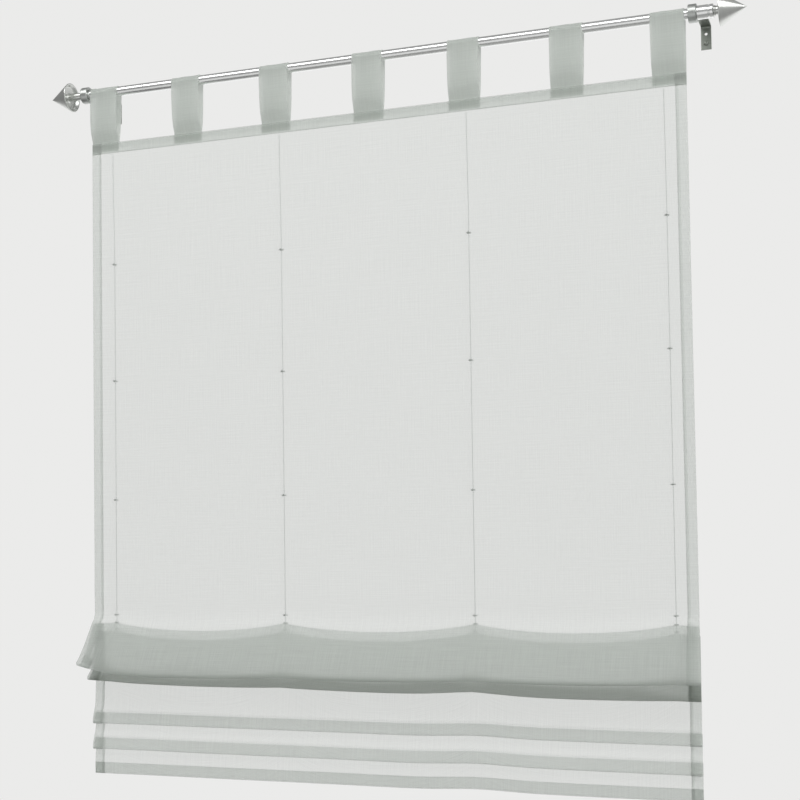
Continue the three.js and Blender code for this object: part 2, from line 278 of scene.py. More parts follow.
# %% [markdown]
# ## Voile
# Voile is a plain weave of fine twisted yarns with small gaps between them. Part of the light
# goes straight through the gaps, part is scattered through the yarns from behind, and part is
# sent back. One layer looks almost white with light behind it, and each further layer lets
# less of that light through, so folds and hems read darker by themselves.
#
# Glass or plain transparency could stand for it, but neither scatters. So the gaps are a
# Transparent shader, mixed by a coverage with the yarns, which are half Principled and half
# Translucent. Slubs, the thicker stretches of a yarn, are noise drawn out along each direction.

# %% Voile
YARN_PITCH, YARN_RELIEF = 0.62 * MM, 0.12 * MM
SLUB_THIN, SLUB_LONG, CLOUD_SCALE = 900, 16, 14
# The band tone and band density darken and thicken the voile in given bands: darker lines at the heading,
# and painted shade under the first fold and on the lip of the second.
WEAVE_SHARE, CLOUD_SHARE, BAND_AND_SHADE_DENSER, SHADED = 0.035, 0.05, 0.3, 0.93
VOILE_TONE, BAND_AND_SHADE_TONE = (0.80, 0.833, 0.80), (0.18, 0.215, 0.17, 1)


def voile(name, colour, coverage, uneven=0.10, heading_and_shade_bands=()):
    """Woven sheer cloth. coverage is the share of its face that yarn covers.

    heading_and_shade_bands lists bands of the cloth, as place down it, half width, softness and strength.
    In such a band the cloth is denser and deeper in tone: darker lines at the heading, and painted shade
    under the folds.
    """
    cloth = Recipe(name)
    place = cloth.node("ShaderNodeUVMap", {"uv_map": "laid_flat"})
    across = cloth.node("ShaderNodeSeparateXYZ", None, {0: place}, 0)
    along = cloth.node("ShaderNodeSeparateXYZ", None, {0: place}, 1)
    turn = 2 * math.pi / YARN_PITCH
    warp, weft = (across * turn).wave(), (along * turn).wave()
    slub_down = cloth.noise(place, 1, 1.0, (SLUB_THIN, SLUB_LONG, 1))
    slub_across = cloth.noise(place, 1, 1.0, (SLUB_LONG, SLUB_THIN, 1))
    cloudy = cloth.noise(place, CLOUD_SCALE, 3.0)
    slubs = slub_down + slub_across - 1.0
    deep = 0.0
    for place_down, half, soft, strength in heading_and_shade_bands:
        away = along - place_down
        aside = away.maths("ABSOLUTE", away, 0.0)
        deep = cloth.between(aside, half + soft, half) * strength + deep
    cover = slubs * uneven + (warp + weft) * WEAVE_SHARE + (cloudy - 0.5) * CLOUD_SHARE + coverage
    dark = tuple(c * SHADED for c in colour)
    paint = cloth.shade(dark, colour, slubs * 0.9 + 0.5)
    # Inside each band the tone turns darker and the coverage rises; under the folds this is painted shade.
    if heading_and_shade_bands:
        cover = cover + deep * BAND_AND_SHADE_DENSER
        paint = cloth.blend(paint, BAND_AND_SHADE_TONE, deep)
    relief = warp * weft * 0.5 + slubs * 0.8
    normal = cloth.bump(relief, YARN_RELIEF, 0.5)
    yarn = cloth.node("ShaderNodeBsdfPrincipled", None, {
        "Base Color": paint, "Roughness": 0.78, "Normal": normal,
        "Specular IOR Level": 0.22, "Sheen Weight": 0.25, "Sheen Roughness": 0.5})
    glow = cloth.node("ShaderNodeBsdfTranslucent", None, {"Color": paint})
    solid = cloth.node("ShaderNodeMixShader", None, {0: 0.5, 1: yarn, 2: glow})
    gaps = cloth.node("ShaderNodeBsdfTransparent", None, {"Color": (1, 1, 1, 1)})
    return cloth.end(cloth.node("ShaderNodeMixShader", None, {0: cover, 1: gaps, 2: solid}))


TAB_SHEER = voile("tab_voile", VOILE_TONE, 0.66, 0.06)
print("voile:", len(TAB_SHEER.node_tree.nodes), "nodes")

# %% [markdown]
# ## Metal, thread, cord and plastic
# The rod, its sleeve and the cones are polished steel, drawn lengthwise, so their fine scratches
# run along the rod. The collars are satin and the straps are darker, less even steel.
# A scratch is too fine to model, so it is noise stretched along one direction, put into the
# roughness and a shallow bump. Thread and cord are matt and the small rings are smoother, each
# with a faint change of tone.

# %% Metal, thread, cord and plastic
def steel(name, bright, dull, rough, spread, stretch, relief):
    """Metal with drawn-out scratches, soft smudges and an uneven polish."""
    metal = Recipe(name)
    place = metal.on_object()
    scratch = metal.noise(place, 260, 3.0, stretch)
    smudge = metal.noise(place, 22, 4.0)
    tone = metal.shade(dull, bright, smudge * 0.9 + scratch * 0.5 - 0.15)
    shine = smudge * spread + (scratch - 0.5) * spread + rough
    return metal.end(metal.node("ShaderNodeBsdfPrincipled", None, {
        "Base Color": tone, "Metallic": 1.0, "Roughness": shine,
        "Normal": metal.bump(scratch, relief * MM, 0.4)}))


def plain_fibre(name, light, dark, rough, scale):
    """A matt material whose tone wanders along the yarn."""
    fibre = Recipe(name)
    place = fibre.on_object()
    wander = fibre.noise(place, scale, 3.0)
    return fibre.end(fibre.node("ShaderNodeBsdfPrincipled", None, {
        "Base Color": fibre.shade(dark, light, wander), "Roughness": rough,
        "Normal": fibre.bump(wander, 0.1 * MM, 0.5), "Specular IOR Level": 0.3}))


POLISHED = steel("polished_steel", (0.94, 0.95, 0.94), (0.87, 0.88, 0.87), 0.19, 0.09, (0.05, 1, 1), 0.02)
CONE_STEEL = steel("turned_steel", (0.78, 0.79, 0.77), (0.60, 0.62, 0.59), 0.24, 0.12, (1, 0.15, 0.15), 0.03)
SATIN = steel("satin_steel", (0.60, 0.62, 0.60), (0.46, 0.48, 0.46), 0.30, 0.14, (1, 0.1, 0.1), 0.04)
STRAP_STEEL = steel("strap_steel", (0.34, 0.36, 0.33), (0.20, 0.22, 0.19), 0.36, 0.16, (0.3, 1, 1), 0.05)
THREAD = plain_fibre("sewing_thread", (0.62, 0.65, 0.62), (0.48, 0.51, 0.48), 0.7, 900)
CORD = plain_fibre("braided_cord", (0.76, 0.79, 0.77), (0.62, 0.65, 0.63), 0.75, 700)
RING = plain_fibre("clear_plastic", (0.42, 0.44, 0.42), (0.30, 0.32, 0.30), 0.35, 300)
print("finishes:", len(bpy.data.materials))


def finish(obj, material, slot, *nodes):
    """Gives a piece its material and its place on the part, and hides the solids that it stands for."""
    obj.data.materials.clear()
    obj.data.materials.append(material)
    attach(obj, "root")
    if nodes:
        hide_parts(*nodes)
    return obj


# %% [markdown]
# ## The camera
# The photograph was taken from the right of the shade, a little below its middle, and looks
# slightly to the left and up. Its upright lines stay almost upright, as in a picture that was
# shifted rather than tilted, so the camera has a small shift and a small tilt.

# %% The camera
EYE = (0.809, -2.207, -0.806)
LOOK_LEFT, LOOK_UP, ROLL = (math.radians(a) for a in (19.76, 3.43, -0.54))
FOCAL_PIXELS, PICTURE_PIXELS, SENSOR_MM = 1459, 800, 36
SHIFT_UP = 0.1

camera = placed("camera", bpy.data.cameras.new("camera"))
camera.data.sensor_width = SENSOR_MM
camera.data.lens = FOCAL_PIXELS / PICTURE_PIXELS * SENSOR_MM
camera.data.shift_y = SHIFT_UP
camera.data.clip_start, camera.data.clip_end = 0.05, 60
camera.location = EYE
camera.rotation_euler = (math.pi / 2 + LOOK_UP, 0, LOOK_LEFT)
camera.rotation_euler.rotate_axis("Z", ROLL)
bpy.context.scene.camera = camera
print("lens", round(camera.data.lens, 2), "mm")

# %% [markdown]
# ## The section of the hanging cloth
# Seen from its side, the cloth is one long line: down from the heading, out over the first
# fold, back up to the fifth ring, down and up again inside the second fold, and down through
# two tucks to the hem. On the real shade the cords decide where the line may go, so it is given
# twice, at a cord and midway between two cords, and the cloth runs smoothly between the two.
#
# A cloth simulation could find such folds, but not these ones with their own sags, so the line
# is given as a few named rows and smoothed with a curve that passes through each.

# %% The section of the hanging cloth
HALF_WIDTH, SIDE_HEM, HEADING_TOP, HEADING_FOOT = 500.0, 17.0, -86.0, -104.0
HEM_TOP, HEM_FOOT, ROD_TO_BACK = -1125.0, -1144.0, 90.0
CORD_LINES = np.array([-461.0, -154.0, 162.0, 466.0])
RING_LEVELS = np.array([-293.0, -490.0, -689.0, -880.0, -892.8, -903.6])


def row(forward, level, forward_mid, level_mid, corner=0.0, slope=0.0):
    """Cloth's middle in mm at a cord, then midway, its lift at the left and its drop to the right."""
    return forward, level, forward_mid, level_mid, corner, slope


def tuck(top, foot):
    """A tuck: down its front, back up inside, and down again behind."""
    points = [(0.4, top + 7), (2.7, top), (6.4, foot + 1.8), (5.1, foot), (3.6, foot + 2),
              (0.3, top - 3.6), (-1.1, top - 2), (-2.5, top - 3.8), (-2.6, foot - 0.5), (-1.2, foot - 6)]
    return [row(forward, level, forward, level, 0, 3.5) for forward, level in points]


ABOVE_FOLDS = [
    row(0, HEADING_TOP, 0, HEADING_TOP), row(0, HEADING_FOOT, 0, HEADING_FOOT),
    row(0, HEADING_FOOT - 0.6, 0, HEADING_FOOT - 0.6), row(0, -500, 0, -500), row(0, -840, 0, -845)]
FIRST_FOLD = [
    row(0.6, -881, 0.4, -891), row(8, -894, 7.6, -904), row(28, -930, 27, -935),
    row(43, -960, 42.5, -963.5, 8), row(46.8, -971, 46.6, -975, 14), row(44, -976.5, 43.8, -980.5, 15),
    row(36, -972, 36, -976, 14), row(23, -948, 23, -953, 8), row(10, -915, 10.5, -926, 3),
    row(3.2, -897, 3.4, -912, 2), row(0.9, -892.2, 1.0, -907), row(-0.1, -894.2, 0, -909.2)]
SECOND_FOLD = [
    row(0.1, -903, 0.1, -917), row(0.8, -925, 0.8, -935), row(6, -962, 6, -968),
    row(16, -984, 16, -987, 2, 5), row(20, -991.5, 20, -994.5, 3, 6), row(17.6, -996, 17.6, -999, 3, 6),
    row(13.6, -992.5, 13.6, -995.5, 3, 6), row(3.6, -972, 3.6, -976, 1, 3), row(-1.4, -948, -1.2, -956),
    row(-2.2, -920, -2.2, -936), row(-2.3, -908.5, -2.3, -925), row(-3.6, -905.3, -3.6, -922),
    row(-5, -908.5, -5, -925)]
BELOW_FOLDS = [
    row(-4.9, -930, -4.9, -944), row(-3.4, -968, -3.4, -974), row(-2.2, -1005, -2.2, -1005, 0, 3.5),
    *tuck(-1042, -1063), *tuck(-1084, -1105), row(0, HEM_TOP, 0, HEM_TOP, 0, 2),
    row(0, HEM_TOP - 0.6, 0, HEM_TOP - 0.6, 0, 2), row(0, HEM_FOOT, 0, HEM_FOOT, 0, 2)]
SECTION = np.array(ABOVE_FOLDS + FIRST_FOLD + SECOND_FOLD + BELOW_FOLDS)
FOLD_START, SECOND_START = len(ABOVE_FOLDS), len(ABOVE_FOLDS) + len(FIRST_FOLD)
BELOW_START = SECOND_START + len(SECOND_FOLD)
print("rows in the section:", len(SECTION))

# %% [markdown]
# ## From the section to a surface
# Each row becomes a line across the shade. Between two cords it sags, steeply beside each cord
# and flatly in the middle, as cloth does that hangs from points. The left corner is lifted,
# tucks and hem drop a little to the right, and the whole cloth waves by a millimetre or two.

# %% From the section to a surface
EDGE_SAG, CORD_WIDTH, SAG_SHARPNESS = 0.15, 0.045, 0.65
BACKWARD_LEAN, SURFACE_WAVE, WAVE_FULL = 0.0155, 1.6, -400.0
CORNER_SPAN, CORNER_FLARE, BILLOW_DEPTH = 60.0, 7.0, 46.0
TUCK_LIFT, TUCK_LIFT_SPREAD = 3.2, 62.0


def sag_at(x):
    """0 at a cord and 1 midway: a sine of the share of the span, raised to 0.65.

    The sine is squared, given a small floor and rooted, which rounds its tip at the cord.
    """
    span = np.clip(np.searchsorted(CORD_LINES, x) - 1, 0, len(CORD_LINES) - 2)
    share = (x - CORD_LINES[span]) / (CORD_LINES[span + 1] - CORD_LINES[span])
    inside = np.sin(math.pi * np.clip(share, 0, 1)) ** 2
    hung = (inside + CORD_WIDTH ** 2) ** (SAG_SHARPNESS / 2) - CORD_WIDTH ** SAG_SHARPNESS
    left = EDGE_SAG * np.clip((CORD_LINES[0] - x) / (CORD_LINES[0] + HALF_WIDTH), 0, 1)
    right = EDGE_SAG * np.clip((x - CORD_LINES[-1]) / (HALF_WIDTH - CORD_LINES[-1]), 0, 1)
    return hung + left + right


def lean(level):
    """How far the cloth has come back towards the plane of the plates at a level."""
    return BACKWARD_LEAN * (HEADING_TOP - level)


def wave(x, level):
    """A slow unevenness: a sine across times a longer cosine, none at the heading."""
    fade = soft_step(-level, -HEADING_FOOT, -WAVE_FULL)
    return SURFACE_WAVE * fade * np.sin(x / 71 + 0.6) * np.cos(x / 187 - 0.4)


def knots(x):
    """Depth and level of every row at every x, as arrays [row, x]."""
    sag = sag_at(x)[None]
    forward, level, forward_mid, level_mid, corner, slope = (c[:, None] for c in SECTION.T)
    near_left = np.clip(1 - (x + HALF_WIDTH) / (CORNER_SPAN * 1.5), 0, 1)[None] ** 2
    lift = TUCK_LIFT * np.exp(-((x - CORD_LINES[2]) / TUCK_LIFT_SPREAD) ** 2)[None] * (slope > 0)
    level = level + (level_mid - level) * sag + corner * near_left - slope * x[None] / HALF_WIDTH + lift
    forward = forward + (forward_mid - forward) * sag
    return -ROD_TO_BACK - forward + lean(level) - wave(x[None], level), level


def through_knots(y, z, s):
    """A smooth curve through the rows, and its direction, at the places s along them.

    It is the centripetal Catmull-Rom curve: between two rows a cubic whose slopes come from the
    neighbouring rows, each weighted by the root of the distance to it.
    """
    points = np.stack([y, z], -1)
    ends = 2 * points[:1] - points[1:2], 2 * points[-1:] - points[-2:-1]
    points = np.concatenate([ends[0], points, ends[1]])
    before, start, end, after = points[:-3], points[1:-2], points[2:-1], points[3:]
    gap = [np.linalg.norm(b - a, axis=-1)[..., None] ** 0.5 for a, b in
           ((before, start), (start, end), (end, after))]
    into = ((start - before) / gap[0] - (end - before) / (gap[0] + gap[1]) + (end - start) / gap[1]) * gap[1]
    out = ((end - start) / gap[1] - (after - start) / (gap[1] + gap[2]) + (after - end) / gap[2]) * gap[1]
    k = np.minimum(s.astype(int), len(start) - 1)
    t = (s - k)[:, None, None]
    a, b, m, n = start[k], end[k], into[k], out[k]
    square, cube = 3 * b - 3 * a - 2 * m - n, 2 * a - 2 * b + m + n
    return a + m * t + square * t ** 2 + cube * t ** 3, m + 2 * square * t + 3 * cube * t ** 2


def arc_places(x, low, high, spacing):
    """Places along the section between rows low and high, evenly spacing mm apart."""
    fine = np.linspace(low, high, int((high - low) * 40) + 1)
    line, _ = through_knots(*knots(np.array([x])), fine)
    run = length_along(line[:, 0])
    count = max(int(round(run[-1] / spacing)), 1) + 1
    return np.interp(np.linspace(0, run[-1], count), run, fine)


S_FINE = np.linspace(0, len(SECTION) - 1, 40 * (len(SECTION) - 1) + 1)
MIDDLE_LINE, _ = through_knots(*knots(np.array([4.0])), S_FINE)
RUN_FINE = length_along(MIDDLE_LINE[:, 0])

# %% [markdown]
# ## Creases
# Cloth that is sewn to rings and pulled up by cords is never quite smooth. Each ring pulls a
# small dimple, short drapes fall away from it, and the folds carry a few soft troughs. Each
# crease is a short line on the flat cloth with a width and a depth, and it is pressed in as a
# bell-shaped groove that fades at both ends.

# %% Creases
def crease(across, down, towards, drop, width, depth):
    """A crease from a point, across and down in mm on the flat cloth, in a direction."""
    return across, down, towards, drop, width, depth


def run_at(place):
    """Length of cloth from the heading's top to a place between the rows."""
    return np.interp(place, S_FINE, RUN_FINE)


DIMPLE_DEPTH, DIMPLE_WIDE, DIMPLE_TALL = 0.55, 5.5, 6.5
DRAPE_DEPTH, DRAPE_LENGTH = 0.3, 55.0
FOLD_RUN, FRONT_RUN = run_at(FOLD_START), run_at(FOLD_START + 4)
SECOND_RUN, BELOW_RUN = run_at(SECOND_START), run_at(BELOW_START)
CREASES = [
    crease(-490, FOLD_RUN + 8, 14, 88, 9, -2.2), crease(-470, FOLD_RUN + 20, -22, 62, 7, 1.4),
    crease(-438, FOLD_RUN + 4, 66, 34, 9, 1.2), crease(-420, FOLD_RUN + 26, 120, 40, 14, 0.9),
    crease(-178, FOLD_RUN + 6, -70, 34, 9, 1.1), crease(-132, FOLD_RUN + 6, 84, 36, 10, 1.1),
    crease(138, FOLD_RUN + 6, -96, 38, 10, 1.2), crease(186, FOLD_RUN + 5, 104, 34, 10, 1.2),
    crease(444, FOLD_RUN + 6, -84, 38, 10, 1.2), crease(486, FOLD_RUN + 10, -8, 84, 7, -1.6),
    crease(-300, FRONT_RUN - 40, 190, 14, 13, 0.8), crease(-60, FRONT_RUN - 58, 150, 22, 15, 0.9),
    crease(230, FRONT_RUN - 36, 170, -12, 13, 0.8), crease(40, FRONT_RUN - 20, 210, 6, 9, 0.7),
    crease(-300, SECOND_RUN + 60, 210, 10, 9, 0.8), crease(60, SECOND_RUN + 66, 240, -8, 9, 0.9),
    crease(-420, BELOW_RUN + 60, 260, 8, 12, 0.5), crease(200, BELOW_RUN + 56, 220, -10, 12, 0.5),
    crease(-380, 210, 46, 380, 26, 0.8), crease(-90, 300, -34, 330, 30, 0.9),
    crease(250, 260, 30, 420, 28, 0.8)]


def pressed(x, run):
    """Depth pressed into the cloth, in mm, for arrays of across and of run down the cloth."""
    depth = np.zeros(np.broadcast(x, run).shape)
    for across, down, towards, drop, width, deep in CREASES:
        long = towards ** 2 + drop ** 2
        share = ((x - across) * towards + (run - down) * drop) / long
        aside = ((x - across) * drop - (run - down) * towards) / math.sqrt(long)
        fade = soft_step(share, -0.15, 0.3) * soft_step(1 - share, -0.15, 0.3)
        depth += deep * fade * np.exp(-(aside / width) ** 2)
    for line in CORD_LINES:
        for level in RING_LEVELS[:4]:
            down = HEADING_TOP - level
            away = ((x - line) / DIMPLE_WIDE) ** 2 + ((run - down) / DIMPLE_TALL) ** 2
            drape = np.exp(-((np.abs(x - line) - (run - down) * 0.16) / 4) ** 2)
            below = soft_step(run - down, 0, 8) * soft_step(down + DRAPE_LENGTH - run, 0, 50)
            depth += DIMPLE_DEPTH * np.exp(-away) + DRAPE_DEPTH * drape * below
    return depth


def cloth_points(x, s, behind=0.0):
    """Points of the cloth in metres at every place s down it and every x across it.

    behind moves a layer back along the cloth's own normal. The ends of the first fold flare
    outwards by up to 7 mm, growing with the square of the nearness to the edge.
    """
    curve, along = through_knots(*knots(x), s)
    y, z = curve[..., 0], curve[..., 1]
    length = np.maximum(np.linalg.norm(along, axis=-1), 1e-9)
    front_y, front_z = along[..., 1] / length, -along[..., 0] / length
    back = behind + pressed(x[None], run_at(s)[:, None])
    near_edge = np.clip((np.abs(x) - HALF_WIDTH + CORNER_SPAN) / CORNER_SPAN, 0, 1)[None]
    forward = np.clip(-y - ROD_TO_BACK + lean(z), 0, None)
    flare = CORNER_FLARE * near_edge ** 2 * forward / BILLOW_DEPTH
    return np.stack([x[None] + np.sign(x[None]) * flare, y - front_y * back, z - front_z * back], -1) * MM


print("creases:", len(CREASES), "deepest", round(float(pressed(np.array([0.0]), RUN_FINE).max()), 2), "mm")

# %% [markdown]
# ## The voile panel
# The panel is cut wider and longer than the shade: its sides, its top and its foot are turned
# to the back and sewn down. A hem could be painted as a denser stripe, but the turned layer is
# what makes it denser, so the net starts on the turned side hem, goes round the edge, across
# the front and round the other edge. It does the same at the heading and at the hem.

# %% The voile panel
LAYER, RAW_EDGE, SIDE_TURN, LAST = 0.23, 5.0, 4.8, len(SECTION) - 1
TURN_ROWS, INNER_BACK, FOLD_BACK, OUTER_BACK = 6, 0.31, 0.46, 0.62
HEM_ROWS = 2 * TURN_ROWS + 2
HALF_TURN, FULL_TURN = LAYER, 2 * LAYER


def panel_columns():
    """x and layer offset of each line down the cloth, from one turned hem to the other.

    Each side hem is turned twice: 5 mm of raw edge lies inside the 17 mm that show.
    """
    inner = HALF_WIDTH - SIDE_HEM
    raw = np.array([inner + SIDE_TURN, inner + 3.2, inner + 1.6, inner])
    raw_back = np.array([HALF_TURN, HALF_TURN, HALF_TURN, 1.5 * LAYER])
    turned = np.array([inner + 1.6, inner + 4.5, 491.5, 496, 498.6, 499.7, HALF_WIDTH])
    turned_back = np.array([FULL_TURN] * 5 + [0.85 * FULL_TURN, HALF_TURN])
    marks = [np.linspace(-499.7, 499.7, 206), [-498.6, -496, -inner, inner, 496, 498.6]]
    for line in CORD_LINES:
        marks.append(line + np.array([-9, -6, -3.5, -1.5, 0, 1.5, 3.5, 6, 9]))
    front = np.unique(np.round(np.concatenate(marks), 1))
    hem, back = np.concatenate([raw, turned]), np.concatenate([raw_back, turned_back])
    return np.concatenate([-hem, front, hem[::-1]]), np.concatenate([back, 0 * front, back[::-1]])


def panel_rows():
    """Place s and layer offset of each line across the cloth, from heading hem to foot hem.

    Both hems are turned twice by their full width, so each has three layers.
    """
    down = [arc_places(4.0, 0, 1, 3.5)[1:-1], arc_places(4.0, 1, 4, 9.0)[:-1],
            arc_places(4.0, 4, BELOW_START, 3.0)[:-1], arc_places(4.0, BELOW_START, LAST, 3.2)[:-1]]
    front = np.concatenate(down)
    inside, turned_over = np.linspace(0.08, 0.94, TURN_ROWS), np.linspace(0.94, 0.03, TURN_ROWS)
    share = np.concatenate([inside, [1.0], turned_over, [0.0]])
    back = np.concatenate([np.full(TURN_ROWS, INNER_BACK), [FOLD_BACK],
                           np.full(TURN_ROWS, OUTER_BACK), [INNER_BACK]])
    s = np.concatenate([share, front, LAST - share[::-1]])
    return s, np.concatenate([back, 0 * front, back[::-1]])


def laid_flat(points):
    """Length of cloth across and down to every point of a net, in metres."""
    across = np.linalg.norm(np.diff(points, axis=1), axis=-1)
    down = np.linalg.norm(np.diff(points, axis=0), axis=-1)
    u = np.cumsum(np.concatenate([np.zeros((points.shape[0], 1)), across], 1), 1)
    v = np.cumsum(np.concatenate([np.zeros((1, points.shape[1])), down], 0), 0)
    u = np.broadcast_to(u.mean(0, keepdims=True), v.shape)
    return np.stack([u, v], -1)


column_x, column_back = panel_columns()
row_s, row_back = panel_rows()
panel_net = cloth_points(column_x, row_s, row_back[:, None] + column_back[None])
panel_flat = laid_flat(panel_net)
panel = surface("voile_panel", panel_net, panel_flat)


def flat_place(place):
    """Metres down the cut cloth to a place between the rows of the section."""
    front = slice(HEM_ROWS, -HEM_ROWS)
    return float(np.interp(place, row_s[front], panel_flat[front, :, 1].mean(1)))


HEADING_LINE, HEADING_SEAM = flat_place(0.26), flat_place(0.95)
BILLOW_EDGE, LIP_EDGE = flat_place(FOLD_START + 5.0), flat_place(SECOND_START + 5.0)
# Four bands: two darker lines at the heading, then painted shade, a thin dark line just under the first fold
# and a wider dark band over the lip of the second fold, where the folds shade the cloth.
SHEER = voile("sheer_voile", VOILE_TONE, 0.46, heading_and_shade_bands=[
    (HEADING_LINE, 0.0035, 0.003, 0.16), (HEADING_SEAM, 0.0004, 0.0008, 0.35),
    (BILLOW_EDGE + 0.005, 0.002, 0.010, 0.45), (LIP_EDGE, 0.016, 0.016, 0.58)])
finish(panel, SHEER, "sheer_cloth", "shade_cloth")

# %% [markdown]
# ## Tabs
# A tab is a strip folded lengthwise and sewn into a flat tube, so it has two layers wherever it
# hangs and looks denser than the panel. It goes up in front of the rod, over it and down behind.
# A flat ribbon with thickness would hide the two layers, so the net runs round a very flat
# tube, and that outline is carried along the tab's path.

# %% Tabs
rod_low, rod_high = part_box("curtain_rod")
ROD_RADIUS = (rod_high[2] - rod_low[2]) / 2 / MM
TAB_WIDTH, TAB_LAYERS, TAB_CLEAR, TAB_EDGE, TAB_WAIST = 50.0, 0.30, 0.8, 0.008, 0.009


def smooth_path(knots_yz, spacing):
    """Evenly spaced points of the curve through hand-set points, and the direction at each."""
    y, z = np.array(knots_yz, float).T
    s = np.linspace(0, len(y) - 1, 40 * len(y))
    line, _ = through_knots(y[:, None], z[:, None], s)
    run = length_along(line[:, 0])
    even = np.interp(np.linspace(0, run[-1], int(run[-1] / spacing) + 1), run, s)
    line, along = through_knots(y[:, None], z[:, None], even)
    along = along[:, 0] / np.linalg.norm(along[:, 0], axis=1)[:, None]
    return line[:, 0], along, run[-1]


def tab_net(centre, tilt, seed):
    """Net of a tab: the path in y and z, and round it a flat outline with rounded sides."""
    over = ROD_RADIUS + TAB_CLEAR
    front = [(1.8, -101), (1.8, -92), (1.6, -84.5), (-0.6, -78), (-4.6, -66), (-7.4, -46), (-8.6, -20)]
    angle = np.pi * np.arange(11) / 10
    crown = list(zip(-over * np.cos(angle), over * np.sin(angle)))
    rear = [(8.7, -20), (8.2, -46), (6.6, -66), (4.6, -78), (3.2, -86), (3.1, -92), (3.1, -101)]
    path, along, length = smooth_path([*front, *crown, *rear], 1.9)
    side = np.linspace(-1, 1, 15)
    bend = np.linspace(-np.pi / 2, np.pi / 2, 5)[1:-1]
    across = np.concatenate([side, 1 + np.cos(bend) * TAB_EDGE, side[::-1], -1 - np.cos(bend) * TAB_EDGE])
    layer = np.concatenate([np.ones(15), -np.sin(bend), -np.ones(15), np.sin(bend)])
    high = path[:, 1]
    waist = 1 - TAB_WAIST * np.exp(-((high + 44) / 26) ** 2) * (1 + 0.4 * math.sin(seed))
    x = centre - tilt * high / HEADING_TOP
    x = x[:, None] + across[None] * TAB_WIDTH / 2 * waist[:, None]
    ripple = 0.35 * np.sin(across * 5 + seed)[None] * np.exp(-((high - 3) / 16) ** 2)[:, None]
    ripple = ripple + 0.5 * np.cos(across * 2.4 + seed * 1.7)[None] * soft_step(-high, 8, 50)[:, None] \
        * soft_step(high, -84, -60)[:, None]
    out = layer[None] * TAB_LAYERS + np.clip(ripple, 0, None)
    normal = np.stack([along[:, 1], -along[:, 0]], -1)
    y = -ROD_TO_BACK + path[:, 0][:, None] - normal[:, 0][:, None] * out
    z = high[:, None] - normal[:, 1][:, None] * out
    return np.stack([x, y, z], -1) * MM, length


for number, tilt in enumerate((0.6, -0.9, -0.4, 0.5, 0.7, 1.0, -0.5), start=1):
    node = f"tab_{number}"
    low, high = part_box(node)
    net, tab_length = tab_net((low[0] + high[0]) / 2 / MM + 0.5 * tilt, tilt, 1.3 * number)
    ring = np.concatenate([net, net[:, :1]], 1)
    tab = surface(f"voile_tab_{number}", net, laid_flat(ring), close_j=True)
    finish(tab, TAB_SHEER, "tab_cloth", node)
    tab_length * MM

# %% [markdown]
# ## Seams
# Each hem is held by a line of stitches about 3 mm long. They could be a dashed line in the
# material, but a stitch is a raised bit of thread that pulls the cloth down on both sides of
# it, and it catches light. So every stitch is a small capsule, and all those of one seam are a
# single mesh: one net of a few points, copied to every place at once.

# %% Seams
STITCH_PITCH, STITCH_LENGTH, THREAD_RADIUS = 3.0 * MM, 2.1 * MM, 0.24 * MM
SEAM_END, SIDE_SEAM, TACK_INNER, TACK_OUTER = 498.5, 484.6, 483.5, 499.0
SEAM_BEHIND, SIDE_SEAM_BEHIND, TACK_PITCH = 0.15, 0.2, 0.55 * MM


def stitches(name, line, pitch=STITCH_PITCH):
    """Capsules along a line of points: radius by the root of one less the share squared."""
    run = length_along(line)
    at = np.arange(pitch, run[-1] - pitch / 2, pitch)
    centre = np.stack([np.interp(at, run, line[:, k]) for k in range(3)], -1)
    ahead = np.stack([np.interp(at + STITCH_LENGTH / 2, run, line[:, k]) for k in range(3)], -1)
    along = (ahead - centre) / np.linalg.norm(ahead - centre, axis=1)[:, None]
    aside = np.cross(along, [0.31, 0.82, 0.48])
    aside /= np.linalg.norm(aside, axis=1)[:, None]
    across = np.cross(along, aside)
    share = np.array([-1, -0.86, -0.45, 0.45, 0.86, 1])
    radius = THREAD_RADIUS * np.sqrt(1 - share ** 2)
    angle = ring_angles(6)
    net = centre[:, None, None] + along[:, None, None] * (share * STITCH_LENGTH / 2)[None, :, None, None]
    net = net + aside[:, None, None] * (radius[:, None] * np.cos(angle)[None])[None, ..., None]
    net = net + across[:, None, None] * (radius[:, None] * np.sin(angle)[None])[None, ..., None]
    seam = surface(name, net, close_j=True, closed=True)
    return finish(seam, THREAD, "sheer_cloth")


def seam_across(name, s):
    """A seam from side to side at one place down the cloth."""
    x = np.linspace(-SEAM_END, SEAM_END, 700)
    return stitches(name, cloth_points(x, np.array([s]), SEAM_BEHIND)[0])


def seam_down(name, x):
    """A seam down one side hem, from the heading to the hem."""
    places = arc_places(x, 0.1, LAST - 0.05, 2.0)
    return stitches(name, cloth_points(np.array([x]), places, SIDE_SEAM_BEHIND)[:, 0])


TUCKS = [BELOW_START + 3, BELOW_START + 13]
seams = [seam_across("seam_heading_top", 0.13), seam_across("seam_heading_foot", 0.93),
         seam_across("seam_hem", LAST - 0.9), seam_down("seam_left", -SIDE_SEAM),
         seam_down("seam_right", SIDE_SEAM)]
for number, first in enumerate(TUCKS, start=1):
    seams.append(seam_across(f"seam_tuck_{number}", first + 1.0))
    for word, side in (("left", -1), ("right", 1)):
        x = side * np.linspace(TACK_INNER, TACK_OUTER, 20)
        tack = cloth_points(x, np.array([first + 2.9]), -0.1)[0]
        seams.append(stitches(f"tack_{word}_{number}", tack, TACK_PITCH))
print("seams:", len(seams), "with", sum(triangles(seam) for seam in seams), "triangles")

# %% [markdown]
# ## Cords and rings
# A lift cord is two or three yarns twisted together, a little over a millimetre thick. It is
# sewn down behind the heading, runs through a ring at every row and is tied at the lowest. A
# bevelled curve would give a smooth wire, so the outline here has three lobes, and it turns
# once every few millimetres on its way down.

# %% Cords and rings
CORD_RADIUS, LAY, RING_RADIUS, RING_WIRE = 0.6, 5.0, 3.2, 0.8
CORD_TOP, CORD_FOOT = -105.2, -904.6


